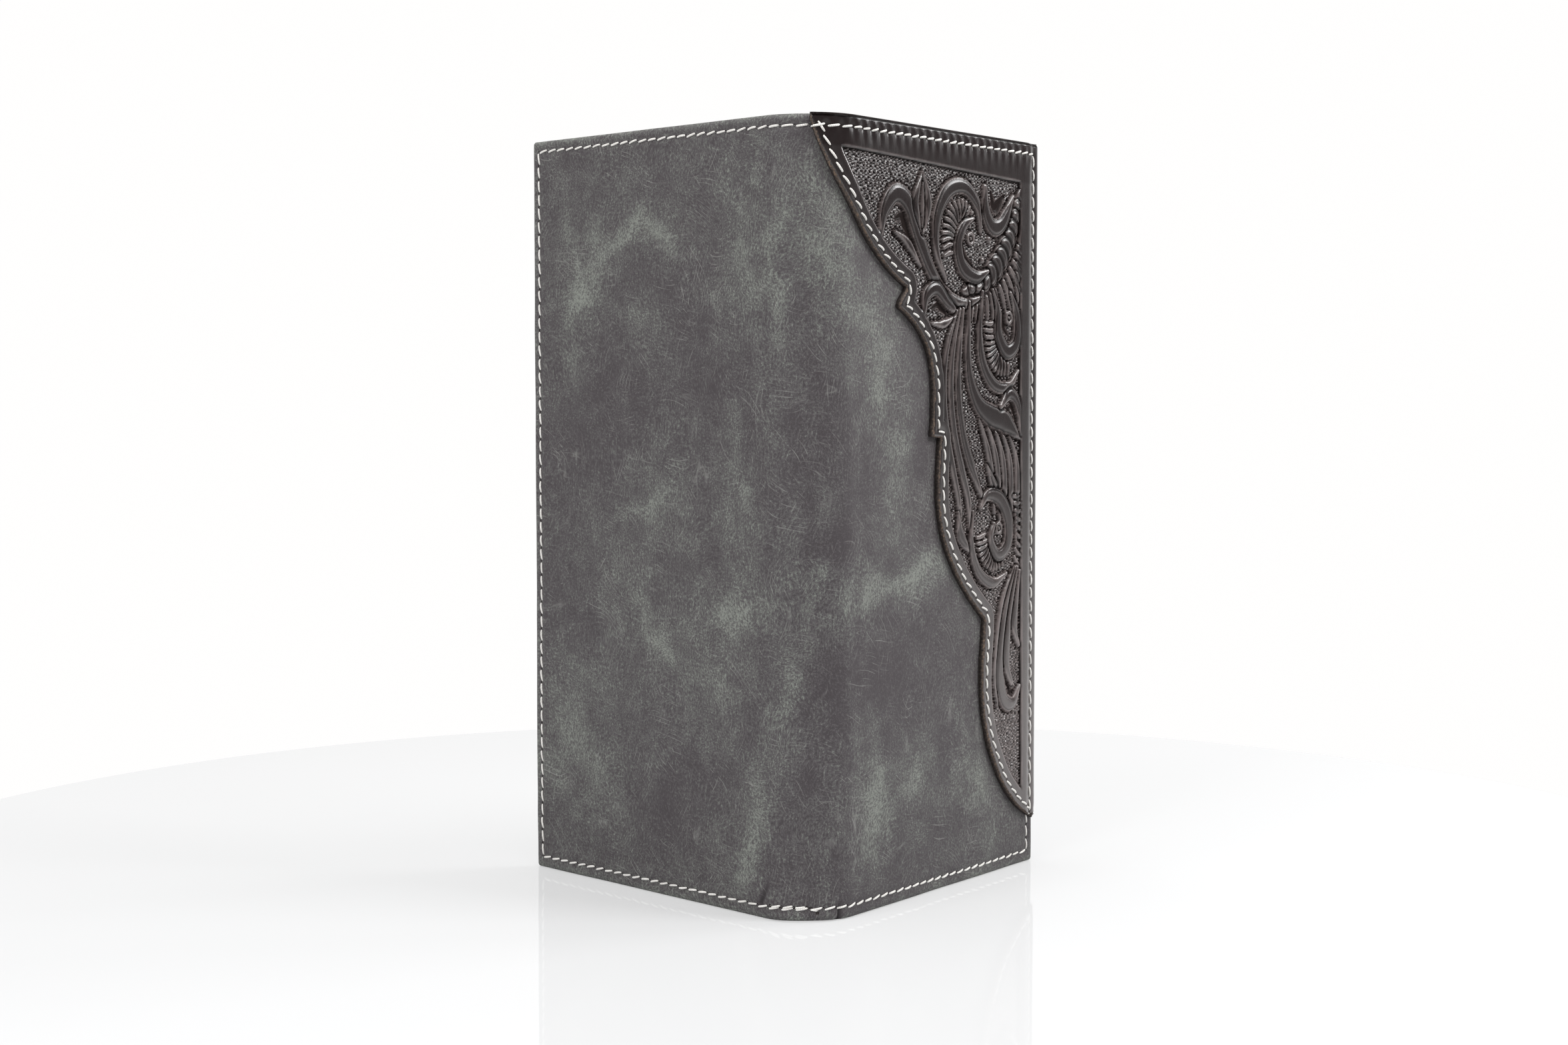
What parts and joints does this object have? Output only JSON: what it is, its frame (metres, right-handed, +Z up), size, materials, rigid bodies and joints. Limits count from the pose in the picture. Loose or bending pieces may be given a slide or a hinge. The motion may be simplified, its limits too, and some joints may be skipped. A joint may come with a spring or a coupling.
{
  "type": "tooled leather wallet",
  "caption": "Long bifold wallet with a distressed leather shell, a scalloped tooled leather overlay on the front, card pockets, a card window and bill pockets.",
  "frame": {"origin": "on the table, under the middle of the wallet's box as it stands half open", "axes": "+Z up along the spine, -Y towards the spine, the tooled front cover on +X"},
  "size_m": [0.1276, 0.073, 0.184],
  "materials": {
    "shell_leather": "distressed matt charcoal leather with turned edges",
    "tooled_leather": "satin black-brown tooled leather with a raw cut edge",
    "pocket_leather": "smooth dark leather",
    "lining_cloth": "fine woven cloth",
    "clear_film": "clear glossy film"
  },
  "bodies": {
    "back_cover": {"back_cover_leather": "shell_leather", "back_lining": "lining_cloth", "back_bill_panel": "pocket_leather", "back_low_card_pocket_1": "pocket_leather", "back_high_card_pocket_1": "pocket_leather", "back_low_card_pocket_2": "pocket_leather", "back_high_card_pocket_2": "pocket_leather", "back_low_card_pocket_3": "pocket_leather", "back_high_card_pocket_3": "pocket_leather"},
    "spine": {"spine_leather": "shell_leather", "spine_lining": "lining_cloth"},
    "front_cover": {"front_cover_leather": "shell_leather", "front_lining": "lining_cloth", "front_bill_panel": "pocket_leather", "card_window_film": "clear_film", "card_window_frame": "pocket_leather", "front_low_card_pocket_1": "pocket_leather", "front_low_card_pocket_2": "pocket_leather", "front_low_card_pocket_3": "pocket_leather", "tooled_overlay": "tooled_leather"}
  },
  "joints": [
    {"name": "back_fold", "type": "hinge", "parent": "back_cover", "child": "spine", "pos_m": [-0.00769, -0.03404, 0], "axis": [0, 0, 1], "range_deg": [-50, 40], "deforming": ["spine_leather", "spine_lining"]},
    {"name": "front_fold", "type": "hinge", "parent": "spine", "child": "front_cover", "pos_m": [0.00656, -0.03404, 0], "axis": [0, 0, 1], "range_deg": [-50, 40], "deforming": ["spine_leather", "spine_lining", "tooled_overlay"]}
  ]
}
